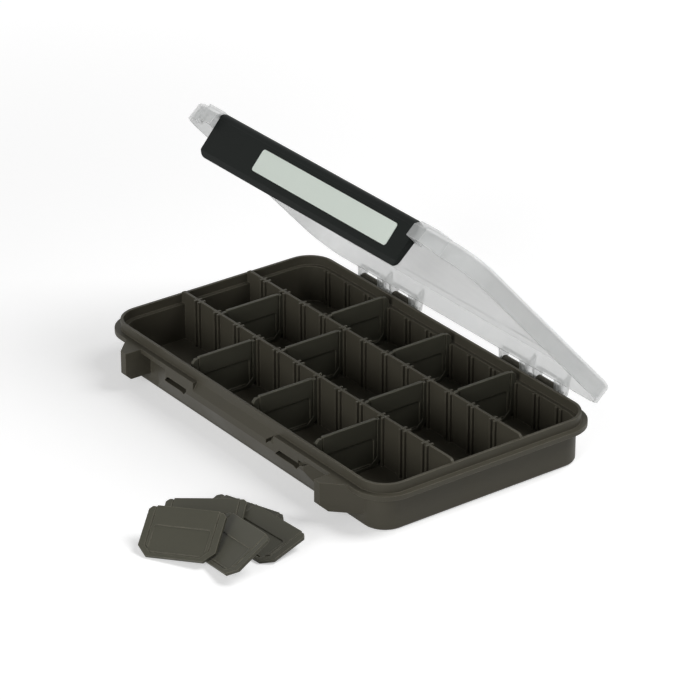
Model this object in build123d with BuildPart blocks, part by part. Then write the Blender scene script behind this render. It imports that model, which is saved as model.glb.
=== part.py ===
from build123d import *
import os
from math import cos, radians, sin

os.makedirs("parts", exist_ok=True)

# Compartment box with a hinged lid, a full-width front latch and removable dividers.
# X runs along the front, +X to the right, -Y is the latch side, +Y the hinge side,
# and the underside of the tray stands on Z = 0. All sizes are in millimetres.

# Tray
length = 279.0
depth = 162.0
corner_r = 21.0
floor_t = 2.0
foot_r = 2.0
flange_top = 25.6
flange_t = 2.9
wall_inset = 6.56
wall_t = 1.74
lip_inset = 3.73
lip_t = 1.72
lip_h = 5.7

# Partitions and the slots for the dividers
partition_t = 1.6
partition_rise = 2.2
partition_end_r = 3.0
slot_count = 12
slot_first_inset = 23.43
slot_last_inset = 28.42
slot_play = 0.2
rib_w = 1.4
rib_depth = 1.9

# Front panel below the rim, its finger scoop and the slanting notch at the scoop's right end
panel_lug_gap = 7.6
panel_taper = 18.0
panel_foot_z = 2.2
panel_knee_z = 15.6
scoop_half = 41.0
scoop_drop = 5.4
notch_inset = 8.0
notch_run = 4.8
notch_drop = 6.7
notch_rise = 3.8
notch_h = 2.4
notch_depth = 4.0

# Catch pockets: a slanted left end, a V-shaped tail and, on the right, a corner window
pocket_left_inset = 22.8
pocket_right_inset = 53.8
pocket_w = 24.2
pocket_low_z = 14.3
pocket_h = 4.3
pocket_slant = 4.6
pocket_depth = 5.0
tail_x = 17.0
tail_tip = 2.6
tail_drop = 1.7
tail_rise = 2.2
window_w = 8.6
window_rise = 2.1

# Lugs that flank the latch on the tray
lug_reach = 11.3
lug_front_w = 5.2
lug_low_z = 7.8
lug_chamfer = 3.5

# Hinge along the back, with its windows measured from the ends of the box
hinge_reach = 7.5
hinge_drop = 2.6
knuckle_r = 3.0
hinge_pin_r = 1.0
press_gap = 0.02
running_gap = 0.08
side_gap = 0.4
left_windows = [(38.7, 56.5), (70.9, 88.4)]
right_windows = [(99.8, 82.5), (67.8, 50.5)]
arm_w = 2.2
thin_arm_w = 1.6
thin_arm_step = 5.3
pin_overhang = 0.8
web_above = 1.0

# Lid
lid_open = 48.2
skirt_gap = 0.3
lid_h = 11.7
lid_t = 1.7
lid_edge_r = 2.2
lid_panel_inset = 12.0
lid_panel_depth = 0.5
ear_reach = 9.8
ear_front_w = 10.9
ear_w = 21.2
ear_chamfer = 3.9
ear_cheek = 4.2

# Latch
latch_end_inset = 44.3
latch_low_z = 8.4
latch_back_gap = 0.4
latch_pivot_reach = 4.0
latch_pivot_drop = 3.4
barrel_r = 3.0
latch_lean = 0.13
latch_t = 2.4
latch_corner_r = 4.0
latch_chamfer_h = 3.0
latch_foot_t = 0.8
latch_web_drop = 3.7
latch_pin_r = 1.2
latch_pin_grip = 11.0
latch_pin_reach = 3.4
hook_side_gap = 5.0
hook_w = 16.0
hook_low_gap = 1.1
hook_high_gap = 1.0
hook_reach = 3.3
label_left_inset = 48.0
label_right_inset = 13.6
label_low_inset = 6.9
label_high_inset = 7.4
label_r = 2.0
label_t = 0.5
label_recess = 0.4

# Dividers
divider_t = 2.0
divider_clear = 0.3
divider_drop = 0.1
divider_chamfer = 6.0
divider_corner_r = 2.0
shoulder_w = 4.0
shoulder_drop = 0.7
groove_w = 0.8
groove_depth = 0.5
groove_inset = 3.8
groove_low = 2.2
panel_side = 6.4
panel_low = 3.4
panel_high_gap = 11.9
panel_r = 1.8

# Heights and outlines of the tray that follow from the sizes above
half_x = length / 2
half_y = depth / 2
flange_low = flange_top - flange_t
lip_top = flange_top + lip_h
partition_top = lip_top + partition_rise
inner_inset = wall_inset + wall_t
lip_inner_inset = lip_inset + lip_t
wall_y = half_y - wall_inset
inner_y = half_y - inner_inset
scoop_foot_z = flange_top - scoop_drop

# Three equal lanes, their slots and the dividers that fit them
lane_clear = (2 * inner_y - 2 * partition_t) / 3
partition_y = (lane_clear + partition_t) / 2
lane_step = lane_clear + partition_t
slot_gap = divider_t + 2 * slot_play
slot_first_x = slot_first_inset - half_x
slot_pitch = (length - slot_first_inset - slot_last_inset) / (slot_count - 1)
slot_x = [slot_first_x + k * slot_pitch for k in range(slot_count)]
rib_offset = slot_gap / 2 + rib_w / 2
rib_span = partition_t + 2 * rib_depth
rib_x = [x + side * rib_offset for x in slot_x for side in (-1, 1)]
rib_wall_y = inner_y - rib_depth / 2 + 0.25
divider_w = lane_clear - 2 * divider_clear
divider_h = partition_top - divider_drop - floor_t
divider_half = divider_w / 2
panel_high = divider_h - panel_high_gap

# Hinge and lid
hinge_y = half_y + hinge_reach
hinge_z = flange_top - hinge_drop
web_low_z = hinge_z - knuckle_r
web_high_z = hinge_z + web_above
windows = [(low - half_x, high - half_x) for low, high in left_windows]
windows += [(half_x - low, half_x - high) for low, high in right_windows]
skirt_low_z = flange_top + skirt_gap
lid_top = skirt_low_z + lid_h

# Latch, with the lugs, ears, front panel and pockets that take their places from it
latch_half = half_x - latch_end_inset
lug_in = latch_half + side_gap
lug_front_out = lug_in + lug_front_w
lug_front_y = -half_y - lug_reach
ear_front_out = lug_in + ear_front_w
ear_out = lug_in + ear_w
ear_front_y = -half_y - ear_reach
latch_back_y = -half_y - latch_back_gap
latch_pivot_y = -half_y - latch_pivot_reach
latch_pivot_z = lid_top - latch_pivot_drop
latch_top_z = latch_pivot_z + barrel_r
latch_chamfer_z = latch_low_z + latch_chamfer_h
latch_chamfer_y = latch_back_y - latch_foot_t
latch_pocket_top_z = latch_pivot_z - latch_web_drop
latch_pin_in = latch_half - latch_pin_grip
latch_pin_out = lug_in + latch_pin_reach
panel_y = -half_y
panel_taper_half = lug_in - panel_lug_gap
panel_half = panel_taper_half - panel_taper
pocket_high_z = pocket_low_z + pocket_h
pocket_x = [pocket_left_inset - latch_half, latch_half - pocket_right_inset]
hook_low_z = pocket_low_z + hook_low_gap
hook_high_z = pocket_high_z - hook_high_gap
hook_tip_y = panel_y + hook_reach
label_x0 = label_left_inset - latch_half
label_x1 = latch_half - label_right_inset
label_low_z = latch_low_z + label_low_inset
label_high_z = latch_top_z - label_high_inset

# The lid is built in its closed place, on a plane that is turned open about the hinge
open_sin = sin(radians(lid_open))
open_cos = cos(radians(lid_open))
lid_frame = Plane(
    origin=(
        0,
        hinge_y - hinge_y * open_cos - hinge_z * open_sin,
        hinge_z + hinge_y * open_sin - hinge_z * open_cos,
    ),
    x_dir=(1, 0, 0),
    z_dir=(0, open_sin, open_cos),
)
lid_up = Axis((0, 0, 0), lid_frame.z_dir)
tray_side = Plane(origin=(0, 0, 0), x_dir=(0, 1, 0), z_dir=(1, 0, 0))
lid_side = Plane(
    origin=lid_frame.origin, x_dir=(0, open_cos, -open_sin), z_dir=(1, 0, 0)
)


def rounded(inset, radius):
    RectangleRounded(length - 2 * inset, depth - 2 * inset, radius)


# Front panel of the tray, with its slanted foot and tapered ends
with BuildPart() as front_panel:
    with BuildSketch(tray_side):
        with BuildLine():
            Polyline(
                (-wall_y + 1, panel_foot_z),
                (-wall_y, panel_foot_z),
                (panel_y, panel_knee_z),
                (panel_y, flange_low),
                (-wall_y + 1, flange_low),
                close=True,
            )
        make_face()
    extrude(amount=panel_taper_half, both=True)
    with BuildSketch(Plane.XY):
        with BuildLine():
            Polyline(
                (-panel_taper_half, -wall_y + 1),
                (-panel_taper_half, -wall_y),
                (-panel_half, panel_y),
                (panel_half, panel_y),
                (panel_taper_half, -wall_y),
                (panel_taper_half, -wall_y + 1),
                close=True,
            )
        make_face()
    extrude(amount=flange_low, mode=Mode.INTERSECT)

# Tray: shell, front panel, rim and sealing lip
with BuildPart() as base_tray:
    with BuildSketch(Plane.XY):
        rounded(wall_inset, corner_r - wall_inset)
    extrude(amount=flange_low)
    fillet(base_tray.faces().sort_by(Axis.Z)[0].edges(), foot_r)

    add(front_panel.part)

    # Lugs beside the latch
    for side in (-1, 1):
        with BuildSketch(Plane.XY.offset(lug_low_z)):
            with BuildLine():
                Polyline(
                    (side * lug_in, -wall_y + 1),
                    (side * lug_in, lug_front_y),
                    (side * lug_front_out, lug_front_y),
                    (side * (lug_front_out - lug_front_y - wall_y), -wall_y),
                    (side * (lug_front_out - lug_front_y - wall_y), -wall_y + 1),
                    close=True,
                )
            make_face()
        extrude(amount=flange_top - lug_low_z)
    with BuildSketch(tray_side):
        with BuildLine():
            Polyline(
                (lug_front_y - 1, lug_low_z - 1),
                (lug_front_y - 1, lug_low_z + lug_chamfer + 1),
                (lug_front_y + lug_chamfer + 1, lug_low_z - 1),
                close=True,
            )
        make_face()
    extrude(amount=half_x, both=True, mode=Mode.SUBTRACT)

    # Rim flange and lip
    with BuildSketch(Plane.XY.offset(flange_low)):
        rounded(0, corner_r)
    extrude(amount=flange_t)
    with BuildSketch(Plane.XY.offset(flange_top)):
        rounded(lip_inset, corner_r - lip_inset)
    extrude(amount=lip_top - flange_top)

    # Hinge lugs behind the rim
    for low_x, high_x in windows:
        with BuildSketch(tray_side.offset(low_x + side_gap)):
            with Locations((hinge_y, hinge_z)):
                Circle(knuckle_r)
            with BuildLine():
                Polyline(
                    (wall_y - 1, web_low_z),
                    (hinge_y, web_low_z),
                    (hinge_y, web_high_z),
                    (wall_y - 1, web_high_z),
                    close=True,
                )
            make_face()
        extrude(amount=high_x - low_x - 2 * side_gap)

    # Hollow, with a ledge inside the lip
    with BuildSketch(Plane.XY.offset(floor_t)):
        rounded(inner_inset, corner_r - inner_inset)
    extrude(amount=flange_top - floor_t, mode=Mode.SUBTRACT)
    with BuildSketch(Plane.XY.offset(flange_top)):
        rounded(lip_inner_inset, corner_r - lip_inner_inset)
    extrude(amount=lip_top - flange_top + 1, mode=Mode.SUBTRACT)

    # Two long partitions
    for side in (-1, 1):
        with BuildSketch(Plane.XY.offset(floor_t - 0.5)):
            with Locations((0, side * partition_y)):
                Rectangle(2 * (half_x - inner_inset) + wall_t, partition_t)
        extrude(amount=flange_top - floor_t + 0.5)
        with BuildSketch(Plane.XZ.offset(-side * partition_y - partition_t / 2)) as crest:
            with Locations((0, (flange_top + partition_top) / 2)):
                Rectangle(
                    2 * (half_x - lip_inner_inset) + lip_t, partition_top - flange_top
                )
            fillet(crest.vertices().sort_by(Axis.Y)[-2:], partition_end_r)
        extrude(amount=partition_t)

    # Rib pairs on the partitions and on the long walls
    with BuildSketch(Plane.XY.offset(floor_t - 0.5)):
        with Locations(*[(x, side * partition_y) for x in rib_x for side in (-1, 1)]):
            Rectangle(rib_w, rib_span)
    extrude(amount=partition_top - floor_t + 0.5)
    with BuildSketch(Plane.XY.offset(floor_t - 0.5)):
        with Locations(*[(x, side * rib_wall_y) for x in rib_x for side in (-1, 1)]):
            Rectangle(rib_w, rib_depth + 0.5)
    extrude(amount=flange_top - floor_t + 0.5)

    # Finger scoop in the rim, its notch and the two catch pockets
    with BuildSketch(tray_side):
        with BuildLine():
            Polyline(
                (-(half_y - lip_inset), flange_top),
                (panel_y, scoop_foot_z),
                (panel_y - 1, scoop_foot_z),
                (panel_y - 1, flange_top + 1),
                (-(half_y - lip_inset), flange_top + 1),
                close=True,
            )
        make_face()
    extrude(amount=scoop_half, both=True, mode=Mode.SUBTRACT)
    notch_x = scoop_half - notch_inset
    notch_z = flange_top - notch_drop
    with BuildSketch(Plane.XZ.offset(-panel_y - notch_depth)):
        with BuildLine():
            Polyline(
                (notch_x, notch_z - notch_h / 2),
                (notch_x + notch_run, notch_z + notch_rise - notch_h / 2),
                (notch_x + notch_run, notch_z + notch_rise + notch_h / 2),
                (notch_x, notch_z + notch_h / 2),
                close=True,
            )
        make_face()
    extrude(amount=notch_depth + 1, mode=Mode.SUBTRACT)
    with BuildSketch(Plane.XZ.offset(-panel_y - pocket_depth)):
        for x in pocket_x:
            with BuildLine():
                Polyline(
                    (x, pocket_low_z),
                    (x + tail_x, pocket_low_z),
                    (x + tail_x + tail_tip, pocket_low_z - tail_drop),
                    (x + pocket_w, pocket_low_z + tail_rise),
                    (x + pocket_w, pocket_high_z),
                    (x + pocket_slant, pocket_high_z),
                    close=True,
                )
            make_face()
        window_x = pocket_x[1] + pocket_w - 1
        with BuildLine():
            Polyline(
                (window_x, pocket_low_z + tail_rise),
                (window_x + window_w, pocket_high_z + window_rise),
                (window_x, pocket_high_z + window_rise),
                close=True,
            )
        make_face()
    extrude(amount=pocket_depth + 1, mode=Mode.SUBTRACT)

    # Hinge bores
    for first, last in ((0, 1), (2, 3)):
        with BuildSketch(tray_side.offset(windows[first][0])):
            with Locations((hinge_y, hinge_z)):
                Circle(hinge_pin_r + press_gap)
        extrude(amount=windows[last][1] - windows[first][0], mode=Mode.SUBTRACT)
base_tray.part.label = "base_tray"
export_step(base_tray.part, "parts/base_tray.step")

# Steel hinge pins, one through each pair of hinge lugs
for name, first, last in (("hinge_pin_left", 0, 1), ("hinge_pin_right", 2, 3)):
    pin_low = windows[first][0] - arm_w - pin_overhang
    pin_high = windows[last][1] + thin_arm_step + thin_arm_w
    with BuildPart() as hinge_pin:
        with BuildSketch(tray_side.offset(pin_low)):
            with Locations((hinge_y, hinge_z)):
                Circle(hinge_pin_r)
        extrude(amount=pin_high - pin_low)
        chamfer(hinge_pin.edges().filter_by(GeomType.CIRCLE), 0.25)
    hinge_pin.part.label = name
    export_step(hinge_pin.part, f"parts/{name}.step")

# Lid: shell, latch ears and hinge arms
with BuildPart() as lid:
    with BuildSketch(lid_frame.offset(skirt_low_z)):
        rounded(0, corner_r)
    extrude(amount=lid_top - skirt_low_z)
    fillet(lid.faces().sort_by(lid_up)[-1].edges(), lid_edge_r)

    # Ears in front, chamfered along their top
    for side in (-1, 1):
        with BuildSketch(lid_frame.offset(skirt_low_z)):
            with BuildLine():
                Polyline(
                    (side * lug_in, -half_y + 1),
                    (side * lug_in, ear_front_y),
                    (side * ear_front_out, ear_front_y),
                    (side * ear_out, -half_y),
                    (side * ear_out, -half_y + 1),
                    close=True,
                )
            make_face()
        extrude(amount=lid_top - skirt_low_z)
    with BuildSketch(lid_side):
        with BuildLine():
            Polyline(
                (ear_front_y - 1, lid_top + 1),
                (ear_front_y - 1, lid_top - ear_chamfer - 1),
                (ear_front_y + ear_chamfer + 1, lid_top + 1),
                close=True,
            )
        make_face()
    extrude(amount=half_x, both=True, mode=Mode.SUBTRACT)

    # Hollow under the lid and under the ears
    with BuildSketch(lid_frame.offset(skirt_low_z)):
        rounded(lid_t, corner_r - lid_t)
    extrude(amount=lid_top - lid_t - skirt_low_z, mode=Mode.SUBTRACT)
    for side in (-1, 1):
        with BuildSketch(lid_frame.offset(skirt_low_z)):
            with BuildLine():
                Polyline(
                    (side * (lug_in + ear_cheek), -half_y + lid_t + 0.5),
                    (side * (lug_in + ear_cheek), ear_front_y + lid_t),
                    (side * (ear_front_out - 0.7), ear_front_y + lid_t),
                    (side * (ear_out - lid_t - 0.7), -half_y),
                    (side * (ear_out - lid_t - 0.7), -half_y + lid_t + 0.5),
                    close=True,
                )
            make_face()
        extrude(amount=lid_top - ear_chamfer - skirt_low_z, mode=Mode.SUBTRACT)

    # Shallow panel pressed into the top
    with BuildSketch(lid_frame.offset(lid_top - lid_panel_depth)):
        rounded(lid_panel_inset, corner_r - lid_panel_inset / 2)
    extrude(amount=lid_panel_depth + 1, mode=Mode.SUBTRACT)

    # Hinge arms beside each window, a thin arm further along, and the plate above the window
    for low_x, high_x in windows:
        for arm_x, width in (
            (low_x - arm_w, arm_w),
            (high_x, arm_w),
            (high_x + thin_arm_step, thin_arm_w),
        ):
            with BuildSketch(lid_side.offset(arm_x)):
                with Locations((hinge_y, hinge_z)):
                    Circle(knuckle_r)
                with BuildLine():
                    Polyline(
                        (half_y - 0.8, skirt_low_z + 1.0),
                        (half_y - 0.8, lid_top - 3.6),
                        (half_y + 2.5, lid_top - 3.6),
                        (hinge_y + 2.35, hinge_z + 1.85),
                        (hinge_y, hinge_z),
                        (hinge_y - 2.5, hinge_z - 1.0),
                        close=True,
                    )
                make_face()
            extrude(amount=width)
        with BuildSketch(lid_side.offset(low_x - arm_w)):
            with BuildLine():
                Polyline(
                    (half_y - 0.8, lid_top - 8.6),
                    (half_y - 0.8, lid_top - 3.6),
                    (half_y + 2.5, lid_top - 3.6),
                    (half_y + 6.3, lid_top - 8.4),
                    (half_y + 4.6, lid_top - 9.7),
                    close=True,
                )
            make_face()
        extrude(amount=high_x - low_x + arm_w + thin_arm_step + thin_arm_w)
        with BuildSketch(lid_side.offset(low_x - arm_w - 1)):
            with Locations((hinge_y, hinge_z)):
                Circle(hinge_pin_r + running_gap)
        extrude(
            amount=high_x - low_x + arm_w + thin_arm_step + thin_arm_w + 2,
            mode=Mode.SUBTRACT,
        )

    # Bores for the latch pins
    for side in (-1, 1):
        with BuildSketch(lid_side.offset(side * lug_in)):
            with Locations((latch_pivot_y, latch_pivot_z)):
                Circle(latch_pin_r + running_gap)
        extrude(amount=side * (latch_pin_out - lug_in + 0.2), mode=Mode.SUBTRACT)
lid.part.label = "lid"
export_step(lid.part, "parts/lid.step")

# Latch: a leaning front plate with rims, a barrel along its top and two catch hooks
latch_front_y = latch_pivot_y - barrel_r
latch_front_chamfer_y = latch_front_y + latch_lean * (latch_top_z - latch_chamfer_z)
latch_mid_z = (latch_low_z + latch_top_z) / 2
label_mid_z = (label_low_z + label_high_z) / 2
latch_face = Plane(
    origin=lid_frame.from_local_coords((0, latch_pivot_y, latch_mid_z)),
    x_dir=(1, 0, 0),
    z_dir=(0, -open_cos, open_sin),
)
label_plane = Plane(
    origin=lid_frame.from_local_coords(
        (
            (label_x0 + label_x1) / 2,
            latch_front_y + latch_lean * (latch_top_z - label_mid_z),
            label_mid_z,
        )
    ),
    x_dir=(1, 0, 0),
    z_dir=lid_frame.from_local_coords((0, -1, -latch_lean))
    - lid_frame.from_local_coords((0, 0, 0)),
)
with BuildPart() as latch:
    with BuildSketch(lid_side):
        with BuildLine():
            Polyline(
                (latch_front_y + latch_lean * barrel_r, latch_pivot_z),
                (latch_front_chamfer_y, latch_chamfer_z),
                (latch_chamfer_y, latch_low_z),
                (latch_back_y, latch_low_z),
                (latch_back_y, latch_pivot_z - 2.7),
                (latch_pivot_y + 2.0, latch_pivot_z),
                close=True,
            )
        make_face()
        with Locations((latch_pivot_y, latch_pivot_z)):
            Circle(barrel_r)
    extrude(amount=latch_half, both=True)

    # Rounded ends, seen from the front
    with BuildSketch(latch_face):
        RectangleRounded(2 * latch_half, latch_top_z - latch_low_z, latch_corner_r)
    extrude(amount=10, both=True, mode=Mode.INTERSECT)

    # Pocket behind the plate
    with BuildSketch(lid_side):
        with BuildLine():
            Polyline(
                (latch_front_chamfer_y + latch_t, latch_chamfer_z),
                (latch_front_chamfer_y + latch_t + 0.3, latch_low_z + latch_t),
                (latch_back_y + 1, latch_low_z + latch_t),
                (latch_back_y + 1, latch_pocket_top_z),
                (
                    latch_front_y
                    + latch_t
                    + latch_lean * (latch_top_z - latch_pocket_top_z),
                    latch_pocket_top_z,
                ),
                close=True,
            )
        make_face()
    extrude(amount=latch_half - latch_t, both=True, mode=Mode.SUBTRACT)

    # Catch hooks, each with a small lip at its tip
    for x in pocket_x:
        with BuildSketch(lid_side.offset(x + hook_side_gap)):
            with BuildLine():
                Polyline(
                    (latch_front_chamfer_y + 1.0, hook_low_z),
                    (hook_tip_y - 0.8, hook_low_z),
                    (hook_tip_y, hook_low_z + 0.8),
                    (hook_tip_y - 0.4, hook_high_z),
                    (latch_front_chamfer_y + 1.0, hook_high_z),
                    close=True,
                )
            make_face()
        extrude(amount=hook_w)

    # Shallow recess for the label, square to the leaning front
    with BuildSketch(label_plane.offset(-label_recess)):
        RectangleRounded(label_x1 - label_x0, label_high_z - label_low_z, label_r)
    extrude(amount=label_recess + 1, mode=Mode.SUBTRACT)

    # Bores for the two latch pins
    for side in (-1, 1):
        with BuildSketch(lid_side.offset(side * (latch_pin_in - 0.2))):
            with Locations((latch_pivot_y, latch_pivot_z)):
                Circle(latch_pin_r + press_gap)
        extrude(amount=side * (latch_half - latch_pin_in + 1), mode=Mode.SUBTRACT)
latch.part.label = "latch"
export_step(latch.part, "parts/latch.step")

# Blank label plate in the recess of the latch
with BuildPart() as latch_label:
    with BuildSketch(label_plane.offset(-label_recess)):
        RectangleRounded(
            label_x1 - label_x0 - 0.3, label_high_z - label_low_z - 0.3, label_r - 0.15
        )
    extrude(amount=label_t)
latch_label.part.label = "latch_label"
export_step(latch_label.part, "parts/latch_label.step")

# Short pins that carry the latch in the ears
for name, side in (("latch_pin_left", -1), ("latch_pin_right", 1)):
    with BuildPart() as latch_pin:
        with BuildSketch(lid_side.offset(side * latch_pin_in)):
            with Locations((latch_pivot_y, latch_pivot_z)):
                Circle(latch_pin_r)
        extrude(amount=side * (latch_pin_out - latch_pin_in))
        chamfer(latch_pin.edges().filter_by(GeomType.CIRCLE), 0.25)
    latch_pin.part.label = name
    export_step(latch_pin.part, f"parts/{name}.step")


# Faces of a divider, width along X and height along Y: outline, groove line and panel
with BuildSketch() as divider_face:
    with BuildLine():
        Polyline(
            (-divider_half + divider_chamfer, 0),
            (divider_half - divider_chamfer, 0),
            (divider_half, divider_chamfer),
            (divider_half, divider_h - shoulder_drop - divider_corner_r),
            (divider_half - divider_corner_r, divider_h - shoulder_drop),
            (divider_half - shoulder_w, divider_h - shoulder_drop),
            (divider_half - shoulder_w - 0.5, divider_h),
            (-divider_half + shoulder_w + 0.5, divider_h),
            (-divider_half + shoulder_w, divider_h - shoulder_drop),
            (-divider_half + divider_corner_r, divider_h - shoulder_drop),
            (-divider_half, divider_h - shoulder_drop - divider_corner_r),
            (-divider_half, divider_chamfer),
            close=True,
        )
    make_face()
with BuildSketch() as divider_relief:
    for step, mode in ((0, Mode.ADD), (groove_w, Mode.SUBTRACT)):
        groove_half = divider_half - groove_inset - step
        groove_cut = divider_chamfer - 0.4 * (groove_inset + step)
        with BuildLine():
            Polyline(
                (-groove_half + groove_cut, groove_low + step),
                (groove_half - groove_cut, groove_low + step),
                (groove_half, groove_low + step + groove_cut),
                (groove_half, divider_h + 1),
                (-groove_half, divider_h + 1),
                (-groove_half, groove_low + step + groove_cut),
                close=True,
            )
        make_face(mode=mode)
    with Locations((0, (panel_low + panel_high) / 2)):
        RectangleRounded(divider_w - 2 * panel_side, panel_high - panel_low, panel_r)

# Fitted dividers: their width runs along Y, between the partitions
fitted = [
    ("divider_front_1", -lane_step, 3),
    ("divider_front_2", -lane_step, 6),
    ("divider_front_3", -lane_step, 9),
    ("divider_middle_1", 0, 1),
    ("divider_middle_2", 0, 4),
    ("divider_middle_3", 0, 8),
    ("divider_rear_1", lane_step, 3),
    ("divider_rear_2", lane_step, 6),
    ("divider_rear_3", lane_step, 9),
]
places = [
    (name, Plane(origin=(slot_x[k], y, floor_t), x_dir=(0, 1, 0), z_dir=(1, 0, 0)))
    for name, y, k in fitted
]

# Loose dividers on the ground in front: how many lie under each, then the middle of its lower
# edge in divider widths, and its yaw, pitch and roll
loose = [
    ("divider_loose_1", 4, (1.9038, -3.8949, -0.1380), (35.71, 34.46, -6.76)),
    ("divider_loose_2", 2, (1.6831, -3.4190, -0.0521), (44.18, 16.10, -5.90)),
    ("divider_loose_3", 0, (1.6893, -3.1038, 0.0079), (18.02, 6.97, -1.30)),
    ("divider_loose_4", 3, (2.2840, -3.6325, -0.0825), (-1.09, 31.51, -8.85)),
    ("divider_loose_5", 1, (2.1438, -3.1494, -0.0269), (6.37, 14.27, 2.70)),
]
for name, under, (x, y, z), (yaw, pitch, roll) in loose:
    spot = (x * divider_w, y * divider_w, z * divider_w + under * divider_t)
    upright = Location(spot) * Location((0, 0, 0), (0, 0, yaw))
    leaning = upright * Location((0, 0, 0), (pitch, 0, 0))
    tilted = leaning * Location((0, 0, 0), (0, roll, 0))
    places.append((name, Plane(tilted).offset(divider_t / 2)))

for name, mid_plane in places:
    with BuildPart() as divider:
        with BuildSketch(mid_plane):
            add(divider_face.sketch)
        extrude(amount=divider_t / 2, both=True)
        for face in (-1, 1):
            with BuildSketch(mid_plane.offset(face * (divider_t / 2 - groove_depth))):
                add(divider_relief.sketch)
            extrude(amount=face * (groove_depth + 0.5), mode=Mode.SUBTRACT)
    divider.part.label = name
    export_step(divider.part, f"parts/{name}.step")
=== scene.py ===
from math import cos, radians, sin

import bmesh
import bpy
from bpy.props import FloatProperty, FloatVectorProperty, PointerProperty
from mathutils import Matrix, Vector

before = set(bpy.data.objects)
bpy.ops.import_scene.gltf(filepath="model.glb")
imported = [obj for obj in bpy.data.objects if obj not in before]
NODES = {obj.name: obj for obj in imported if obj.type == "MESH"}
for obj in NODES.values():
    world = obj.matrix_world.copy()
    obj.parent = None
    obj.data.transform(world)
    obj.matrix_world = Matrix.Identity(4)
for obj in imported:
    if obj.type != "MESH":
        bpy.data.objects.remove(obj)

bl_info = {
    "name": "Compartment Tackle Box",
    "version": (1, 0, 0),
    "blender": (4, 5, 0),
    "location": "View3D > Sidebar > Tackle Box",
    "description": "Finishes for a compartment box with a frosted lid, and its studio",
    "category": "Object",
}

MM = 0.001

# Nearly all of a noise texture's values lie between these two.
NOISE_LOW = 0.3
NOISE_HIGH = 0.7

# How far the tones of one plastic lie from its colour.
TONE_CHANGE = 0.12
LABEL_TONE_CHANGE = 0.03

# How far the lid's cover varies, and how much its pale edges, a painted highlight, add to it.
HAZE_CHANGE = 0.015
EDGE_COVER = 0.5

FLOOR_RADIUS = 6
# Distances from the box between which the floor's lift grows.
LIFT_START = 0.3
LIFT_END = 1.3

KEY_LAMP = {"place": (0.55, 0.75, 1.35), "aim": (0, 0, 0.03), "size": 0.9}
FILL_LAMP = {"place": (0.55, -1.9, 0.75), "aim": (0, 0, 0.05), "size": 1.2}
SENSOR_WIDTH = 36
VIEW_DEPTH = 50


def linear(value):
    """A display value from 0 to 255 as a linear one."""
    value = value / 255
    return value / 12.92 if value <= 0.04045 else ((value + 0.055) / 1.055) ** 2.4


def tint(red, green, blue):
    """A colour given in display values from 0 to 255."""
    return (linear(red), linear(green), linear(blue))


def colour(name, text, default):
    """A colour that a user can change."""
    return FloatVectorProperty(
        name=name, description=text, subtype="COLOR", size=3, min=0, max=1, default=default
    )


class BoxPlastics(bpy.types.PropertyGroup):
    """Colours and surfaces of the moulded pieces."""

    tray: colour("Tray", "Grey-brown plastic of the tray", tint(72, 69, 59))
    divider: colour("Dividers", "Olive plastic of the dividers", tint(73, 72, 62))
    lid: colour("Lid", "Milky plastic of the lid", tint(218, 219, 217))
    latch: colour("Latch", "Near-black plastic of the latch", tint(19, 23, 21))
    label: colour("Label", "Pale plate in the latch", tint(226, 235, 226))
    wire: colour("Pins", "Steel of the hinge wires and latch pins", tint(190, 190, 188))
    lid_cover: FloatProperty(
        name="Lid Cover",
        description="How much of what is behind one face of the lid it hides",
        subtype="FACTOR",
        min=0.05,
        max=1,
        default=0.38,
    )
    grain: FloatProperty(
        name="Grain",
        description="Depth of the moulded grain",
        subtype="DISTANCE",
        unit="LENGTH",
        min=0,
        max=0.001,
        precision=6,
        default=0.00006,
    )


class BoxStudio(bpy.types.PropertyGroup):
    """Floor, lamps and camera."""

    floor: colour("Floor", "Pale floor", (0.8, 0.8, 0.8))
    floor_lift: FloatProperty(
        name="Floor Lift",
        description="Brightness that the floor adds where it is seen or mirrored",
        min=0,
        max=1,
        default=0.44,
    )
    far_lift: FloatProperty(
        name="Far Lift",
        description="The same far from the box, where the lamps don't reach",
        min=0,
        max=1,
        default=0.86,
    )
    sky: FloatProperty(
        name="Sky", description="Strength of the even light all round", min=0, max=4, default=0.12
    )
    key: FloatProperty(
        name="Key", description="Power of the large lamp above", unit="POWER", min=0, default=17
    )
    fill: FloatProperty(
        name="Fill", description="Power of the lamp in front", unit="POWER", min=0, default=22
    )
    lens: FloatProperty(
        name="Lens", description="Focal length of the camera in millimetres", min=1, default=182.56
    )
    distance: FloatProperty(
        name="Distance", description="From the camera to its target", unit="LENGTH", default=2.096
    )
    azimuth: FloatProperty(
        name="Azimuth",
        description="Turn of the camera round the box",
        subtype="ANGLE",
        default=radians(53.479),
    )
    elevation: FloatProperty(
        name="Elevation",
        description="Height of the camera above the horizon",
        subtype="ANGLE",
        default=radians(26.895),
    )
    target: FloatVectorProperty(
        name="Target",
        description="Point that the camera looks at",
        subtype="TRANSLATION",
        unit="LENGTH",
        default=(-0.002421, 0.005328, 0.037007),
    )


def set_inputs(made, values):
    """Sets inputs of a node, by name or by number."""
    for key, value in values.items():
        made.inputs[key].default_value = value


def node(tree, kind, inputs=None, **settings):
    """A new node with its settings and the values of its inputs."""
    made = tree.nodes.new(kind)
    for name, value in settings.items():
        setattr(made, name, value)
    set_inputs(made, inputs or {})
    return made


def shader_group(name, inputs, outputs):
    """An empty node group with named sockets, and its two ends."""
    group = bpy.data.node_groups.new(name, "ShaderNodeTree")
    for label, kind, default in inputs:
        socket = group.interface.new_socket(label, in_out="INPUT", socket_type=kind)
        socket.default_value = default
    for label, kind in outputs:
        group.interface.new_socket(label, in_out="OUTPUT", socket_type=kind)
    return group, node(group, "NodeGroupInput"), node(group, "NodeGroupOutput")


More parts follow.
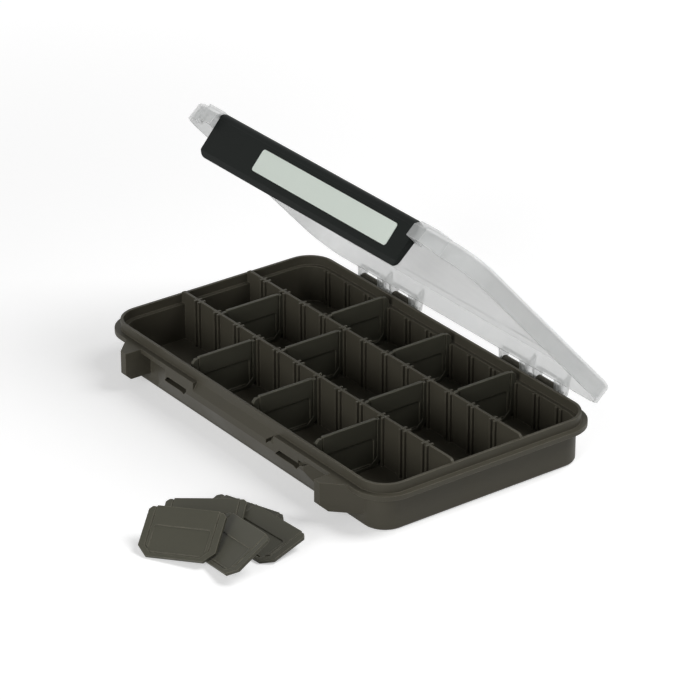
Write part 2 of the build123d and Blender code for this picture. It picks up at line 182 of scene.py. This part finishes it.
def rounded_edges():
    """Normal with softened edges, and a mask of the edges that are tinted pale, partly as scuffing
    from handling and partly as a painted highlight.
    """
    group, given, result = shader_group(
        "Rounded Edges",
        [("Radius", "NodeSocketFloat", 0.0005), ("Wear And Highlight", "NodeSocketFloat", 0.5)],
        [("Normal", "NodeSocketVector"), ("Edge", "NodeSocketFloat")],
    )
    link = group.links.new
    bevel = node(group, "ShaderNodeBevel", samples=6)
    surface = node(group, "ShaderNodeNewGeometry")
    dot = node(group, "ShaderNodeVectorMath", operation="DOT_PRODUCT")
    spread = node(group, "ShaderNodeMapRange", {"From Min": 0.995, "From Max": 0.80})
    place = node(group, "ShaderNodeTexCoord")
    rub = node(group, "ShaderNodeTexNoise", {"Scale": 110, "Detail": 4, "Roughness": 0.6})
    patches = node(
        group, "ShaderNodeMapRange", {"From Min": 0.35, "From Max": 0.7, "To Min": 0.35}
    )
    # The pale edge mask is partly scuffing from handling and partly a painted highlight along the
    # edges.
    worn_and_highlit = node(group, "ShaderNodeMath", operation="MULTIPLY")
    amount = node(group, "ShaderNodeMath", operation="MULTIPLY")
    link(given.outputs["Radius"], bevel.inputs["Radius"])
    link(bevel.outputs["Normal"], dot.inputs[0])
    link(surface.outputs["Normal"], dot.inputs[1])
    link(dot.outputs["Value"], spread.inputs["Value"])
    link(place.outputs["Object"], rub.inputs["Vector"])
    link(rub.outputs["Fac"], patches.inputs["Value"])
    link(spread.outputs["Result"], worn_and_highlit.inputs[0])
    link(patches.outputs["Result"], worn_and_highlit.inputs[1])
    link(worn_and_highlit.outputs["Value"], amount.inputs[0])
    link(given.outputs["Wear And Highlight"], amount.inputs[1])
    link(bevel.outputs["Normal"], result.inputs["Normal"])
    link(amount.outputs["Value"], result.inputs["Edge"])
    return group


def moulded_grain():
    """Fine spark-eroded grain with slow flow marks, on object coordinates."""
    group, given, result = shader_group(
        "Moulded Grain",
        [("Grain Scale", "NodeSocketFloat", 2200), ("Flow Scale", "NodeSocketFloat", 28)],
        [("Height", "NodeSocketFloat"), ("Flow", "NodeSocketFloat")],
    )
    link = group.links.new
    place = node(group, "ShaderNodeTexCoord")
    pits = node(group, "ShaderNodeTexVoronoi", {"Smoothness": 0.7}, feature="SMOOTH_F1")
    fine = node(group, "ShaderNodeTexNoise", {"Detail": 3})
    flow = node(group, "ShaderNodeTexNoise", {"Detail": 5, "Distortion": 0.6})
    both = node(group, "ShaderNodeMath", operation="ADD")
    half = node(group, "ShaderNodeMath", {1: 0.5}, operation="MULTIPLY")
    for texture, scale in ((pits, "Grain Scale"), (fine, "Grain Scale"), (flow, "Flow Scale")):
        link(place.outputs["Object"], texture.inputs["Vector"])
        link(given.outputs[scale], texture.inputs["Scale"])
    link(pits.outputs["Distance"], both.inputs[0])
    link(fine.outputs["Fac"], both.inputs[1])
    link(both.outputs["Value"], half.inputs[0])
    link(half.outputs["Value"], result.inputs["Height"])
    link(flow.outputs["Fac"], result.inputs["Flow"])
    return group


def shared(name, make):
    """The node group of that name, made on its first use."""
    return bpy.data.node_groups.get(name) or make()


def new_material(name):
    """A material, its node tree and its shader."""
    material = bpy.data.materials.new(name)
    material.use_nodes = True
    tree = material.node_tree
    return material, tree, tree.nodes["Principled BSDF"]


def tones(base, change):
    """A darker and a lighter tone of one colour."""
    return [tuple(min(1, c * (1 + sign * change)) for c in base) for sign in (-1, 1)]


def plastic(
    name, pair, pale, rough, wear_and_highlight, radius, specular=0.2, sheen_change=0.06, grain_part=0.8
):
    """Moulded plastic: grain, slow changes between two tones and in sheen, edges tinted pale
    partly as scuffing and partly as a painted highlight.
    """
    material, tree, shader = new_material(name)
    link = tree.links.new
    set_inputs(shader, {"Specular IOR Level": specular})
    edges = node(
        tree,
        "ShaderNodeGroup",
        {"Radius": radius, "Wear And Highlight": wear_and_highlight},
        node_tree=shared("Rounded Edges", rounded_edges),
        name="Edges",
    )
    grain = node(
        tree,
        "ShaderNodeGroup",
        node_tree=shared("Moulded Grain", moulded_grain),
        name="Grain",
    )
    dark, light = ((*tone, 1) for tone in pair)
    mixed = node(tree, "ShaderNodeMix", {"A": dark, "B": light}, data_type="RGBA")
    # Pale tint along the edges: partly scuffing, partly a painted highlight.
    rubbed_and_highlit = node(tree, "ShaderNodeMix", {"B": (*pale, 1)}, data_type="RGBA")
    sheen = node(
        tree,
        "ShaderNodeMapRange",
        {
            "From Min": NOISE_LOW,
            "From Max": NOISE_HIGH,
            "To Min": rough - sheen_change,
            "To Max": rough + sheen_change,
        },
    )
    depth = bpy.context.scene.box_plastics.grain
    bump = node(tree, "ShaderNodeBump", {"Distance": depth, "Strength": grain_part})
    link(grain.outputs["Flow"], mixed.inputs["Factor"])
    link(mixed.outputs["Result"], rubbed_and_highlit.inputs["A"])
    link(edges.outputs["Edge"], rubbed_and_highlit.inputs["Factor"])
    link(rubbed_and_highlit.outputs["Result"], shader.inputs["Base Color"])
    link(grain.outputs["Flow"], sheen.inputs["Value"])
    link(sheen.outputs["Result"], shader.inputs["Roughness"])
    link(grain.outputs["Height"], bump.inputs["Height"])
    link(edges.outputs["Normal"], bump.inputs["Normal"])
    link(bump.outputs["Normal"], shader.inputs["Normal"])
    return material


def milky_plastic(name, base, cover):
    """Frosted, half clear plastic, denser and paler along its edges, where a painted highlight
    lies.
    """
    dim = tuple(c * part for c, part in zip(base, (0.92, 0.94, 0.96)))
    # The pale edge tint of the lid is a painted highlight along its edges.
    material = plastic(
        name,
        (dim, base),
        pale=tint(240, 241, 240),
        rough=0.3,
        wear_and_highlight=0.8,
        radius=0.9 * MM,
        specular=0.5,
        sheen_change=0.02,
        grain_part=0.15,
    )
    tree = material.node_tree
    link = tree.links.new
    haze = node(
        tree,
        "ShaderNodeMapRange",
        {
            "From Min": NOISE_LOW,
            "From Max": NOISE_HIGH,
            "To Min": cover - HAZE_CHANGE,
            "To Max": cover + HAZE_CHANGE,
        },
    )
    # Painted highlight: the edge mask raises the cover along the lid's edges.
    dense = node(tree, "ShaderNodeMath", {1: EDGE_COVER}, operation="MULTIPLY_ADD")
    link(tree.nodes["Grain"].outputs["Flow"], haze.inputs["Value"])
    link(tree.nodes["Edges"].outputs["Edge"], dense.inputs[0])
    link(haze.outputs["Result"], dense.inputs[2])
    link(dense.outputs["Value"], tree.nodes["Principled BSDF"].inputs["Alpha"])
    return material


def drawn_steel(name, base):
    """Bright wire with fine lines along its length."""
    material, tree, shader = new_material(name)
    link = tree.links.new
    set_inputs(shader, {"Metallic": 1})
    place = node(tree, "ShaderNodeTexCoord")
    stretch = node(tree, "ShaderNodeMapping", {"Scale": (60, 5000, 5000)})
    lines = node(tree, "ShaderNodeTexNoise", {"Scale": 1, "Detail": 4})
    dark, bright = (*[c * 0.7 for c in base], 1), (*base, 1)
    tone = node(tree, "ShaderNodeMix", {"A": dark, "B": bright}, data_type="RGBA")
    gloss = node(tree, "ShaderNodeMapRange", {"To Min": 0.22, "To Max": 0.42})
    bump = node(tree, "ShaderNodeBump", {"Distance": 0.01 * MM})
    link(place.outputs["Object"], stretch.inputs["Vector"])
    link(stretch.outputs["Vector"], lines.inputs["Vector"])
    link(lines.outputs["Fac"], tone.inputs["Factor"])
    link(lines.outputs["Fac"], gloss.inputs["Value"])
    link(lines.outputs["Fac"], bump.inputs["Height"])
    link(tone.outputs["Result"], shader.inputs["Base Color"])
    link(gloss.outputs["Result"], shader.inputs["Roughness"])
    link(bump.outputs["Normal"], shader.inputs["Normal"])
    return material


def dress(names, material):
    """Gives every slot of the named pieces one material."""
    for name in names:
        for slot in NODES[name].material_slots:
            slot.material = material


class BOX_OT_tray(bpy.types.Operator):
    """Gives the tray its grey-brown moulded plastic."""

    bl_idname = "box.tray"
    bl_label = "Finish Tray"

    def execute(self, context):
        look = context.scene.box_plastics
        brown = plastic(
            "Tray Plastic",
            tones(look.tray, TONE_CHANGE),
            # Pale edge tint: partly scuffing, partly a painted highlight on the rims and partition
            # tops.
            pale=tint(128, 123, 108),
            rough=0.5,
            wear_and_highlight=0.75,
            radius=0.6 * MM,
        )
        dress(["base_tray"], brown)
        return {"FINISHED"}


class BOX_OT_dividers(bpy.types.Operator):
    """Gives the fitted and the loose dividers their olive plastic."""

    bl_idname = "box.dividers"
    bl_label = "Finish Dividers"

    def execute(self, context):
        look = context.scene.box_plastics
        olive = plastic(
            "Divider Plastic",
            tones(look.divider, TONE_CHANGE),
            # Pale edge tint: partly scuffing, partly a painted highlight on the divider tops.
            pale=tint(134, 130, 114),
            rough=0.45,
            wear_and_highlight=0.85,
            radius=0.8 * MM,
        )
        dress([name for name in NODES if name.startswith("divider_")], olive)
        return {"FINISHED"}


class BOX_OT_lid(bpy.types.Operator):
    """Gives the lid its frosted, half clear plastic."""

    bl_idname = "box.lid"
    bl_label = "Finish Lid"

    def execute(self, context):
        look = context.scene.box_plastics
        dress(["lid"], milky_plastic("Lid Plastic", tuple(look.lid), look.lid_cover))
        return {"FINISHED"}


class BOX_OT_latch(bpy.types.Operator):
    """Gives the latch its near-black satin plastic, and its plate a pale one."""

    bl_idname = "box.latch"
    bl_label = "Finish Latch"

    def execute(self, context):
        look = context.scene.box_plastics
        black = plastic(
            "Latch Plastic",
            tones(look.latch, TONE_CHANGE),
            # Pale edge tint: a painted highlight along the latch's border, partly scuffing.
            pale=tint(64, 70, 66),
            rough=0.42,
            wear_and_highlight=0.5,
            radius=0.5 * MM,
            specular=0.1,
        )
        plate = plastic(
            "Label Plate",
            tones(look.label, LABEL_TONE_CHANGE),
            pale=tint(226, 232, 226),
            rough=0.4,
            wear_and_highlight=0.3,
            radius=0.3 * MM,
        )
        dress(["latch"], black)
        dress(["latch_label"], plate)
        return {"FINISHED"}


class BOX_OT_pins(bpy.types.Operator):
    """Gives the hinge wires and the latch pins their drawn steel."""

    bl_idname = "box.pins"
    bl_label = "Finish Pins"

    def execute(self, context):
        look = context.scene.box_plastics
        steel = drawn_steel("Drawn Steel", tuple(look.wire))
        dress([name for name in NODES if "_pin_" in name], steel)
        return {"FINISHED"}


def seen_directly(tree):
    """1 on rays that show the background: straight, mirrored or through clear plastic."""
    link = tree.links.new
    rays = node(tree, "ShaderNodeLightPath")
    clear = node(tree, "ShaderNodeMath", operation="MAXIMUM")
    seen = node(tree, "ShaderNodeMath", operation="MAXIMUM")
    link(rays.outputs["Is Camera Ray"], clear.inputs[0])
    link(rays.outputs["Is Transmission Ray"], clear.inputs[1])
    link(clear.outputs["Value"], seen.inputs[0])
    link(rays.outputs["Is Glossy Ray"], seen.inputs[1])
    return seen.outputs["Value"]


def floor_material(studio):
    """Pale floor that keeps its shadows and meets a white background."""
    material, tree, shader = new_material("Studio Floor")
    link = tree.links.new
    set_inputs(
        shader,
        {
            "Base Color": (*studio.floor, 1),
            "Roughness": 0.9,
            "Specular IOR Level": 0.1,
            "Emission Color": (1, 1, 1, 1),
        },
    )
    place = node(tree, "ShaderNodeTexCoord")
    reach = node(tree, "ShaderNodeVectorMath", operation="LENGTH")
    level = node(
        tree,
        "ShaderNodeMapRange",
        {
            "From Min": LIFT_START,
            "From Max": LIFT_END,
            "To Min": studio.floor_lift,
            "To Max": studio.far_lift,
        },
        interpolation_type="SMOOTHSTEP",
    )
    lift = node(tree, "ShaderNodeMath", operation="MULTIPLY")
    link(place.outputs["Object"], reach.inputs[0])
    link(reach.outputs["Value"], level.inputs["Value"])
    link(seen_directly(tree), lift.inputs[0])
    link(level.outputs["Result"], lift.inputs[1])
    link(lift.outputs["Value"], shader.inputs["Emission Strength"])
    return material


def studio_floor(studio):
    """A wide disc for the box to stand on."""
    mesh = bpy.data.meshes.new("studio_floor")
    disc = bmesh.new()
    bmesh.ops.create_circle(disc, cap_ends=True, segments=64, radius=FLOOR_RADIUS)
    disc.to_mesh(mesh)
    disc.free()
    floor = bpy.data.objects.new("studio_floor", mesh)
    mesh.materials.append(floor_material(studio))
    bpy.context.scene.collection.objects.link(floor)


def sky_world(studio):
    """Even pale light, white where it is seen directly."""
    world = bpy.data.worlds.new("Studio Sky")
    bpy.context.scene.world = world
    world.use_nodes = True
    tree = world.node_tree
    link = tree.links.new
    back = tree.nodes["Background"]
    set_inputs(back, {"Color": (1, 1, 1, 1)})
    level = node(tree, "ShaderNodeMapRange", {"To Min": studio.sky, "To Max": 1})
    link(seen_directly(tree), level.inputs["Value"])
    link(level.outputs["Result"], back.inputs["Strength"])


def area_lamp(name, power, place, aim, size):
    """A round lamp at a place, turned towards its aim."""
    lamp = bpy.data.lights.new(name, "AREA")
    lamp.shape = "DISK"
    lamp.size = size
    lamp.energy = power
    holder = bpy.data.objects.new(name, lamp)
    holder.location = place
    holder.rotation_euler = (Vector(place) - Vector(aim)).to_track_quat("Z", "Y").to_euler()
    bpy.context.scene.collection.objects.link(holder)


def studio_camera(studio):
    """The camera, turned round its target."""
    camera = bpy.data.objects.new("camera", bpy.data.cameras.new("camera"))
    camera.data.lens = studio.lens
    camera.data.sensor_width = SENSOR_WIDTH
    camera.data.clip_end = VIEW_DEPTH
    turn, rise = studio.azimuth, studio.elevation
    back = Vector((sin(turn) * cos(rise), -cos(turn) * cos(rise), sin(rise)))
    camera.location = Vector(studio.target) + back * studio.distance
    camera.rotation_euler = (radians(90) - rise, 0, turn)
    bpy.context.scene.collection.objects.link(camera)
    bpy.context.scene.camera = camera


class BOX_OT_studio(bpy.types.Operator):
    """Makes the floor, the lamps, the sky and the camera."""

    bl_idname = "box.studio"
    bl_label = "Make Studio"

    def execute(self, context):
        studio = context.scene.box_studio
        studio_floor(studio)
        sky_world(studio)
        area_lamp("key_lamp", studio.key, **KEY_LAMP)
        area_lamp("fill_lamp", studio.fill, **FILL_LAMP)
        studio_camera(studio)
        context.scene.view_settings.view_transform = "Standard"
        return {"FINISHED"}


class BOX_PT_panel(bpy.types.Panel):
    """Lists the steps that finish the box and its studio."""

    bl_idname = "BOX_PT_panel"
    bl_label = "Tackle Box"
    bl_space_type = "VIEW_3D"
    bl_region_type = "UI"
    bl_category = "Tackle Box"

    def draw(self, context):
        layout = self.layout
        for group in (context.scene.box_plastics, context.scene.box_studio):
            for name in group.bl_rna.properties.keys():
                if name not in ("rna_type", "name"):
                    layout.prop(group, name)
        for step in STEPS:
            layout.operator(step.bl_idname)


STEPS = (BOX_OT_tray, BOX_OT_dividers, BOX_OT_lid, BOX_OT_latch, BOX_OT_pins, BOX_OT_studio)
CLASSES = (BoxPlastics, BoxStudio, *STEPS, BOX_PT_panel)


def register():
    for cls in CLASSES:
        bpy.utils.register_class(cls)
    bpy.types.Scene.box_plastics = PointerProperty(type=BoxPlastics)
    bpy.types.Scene.box_studio = PointerProperty(type=BoxStudio)


def unregister():
    del bpy.types.Scene.box_studio
    del bpy.types.Scene.box_plastics
    for cls in reversed(CLASSES):
        bpy.utils.unregister_class(cls)


def main():
    register()
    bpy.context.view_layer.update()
    bpy.ops.box.tray()
    bpy.ops.box.dividers()
    bpy.ops.box.lid()
    bpy.ops.box.latch()
    bpy.ops.box.pins()
    bpy.ops.box.studio()


if __name__ == "__main__":
    main()
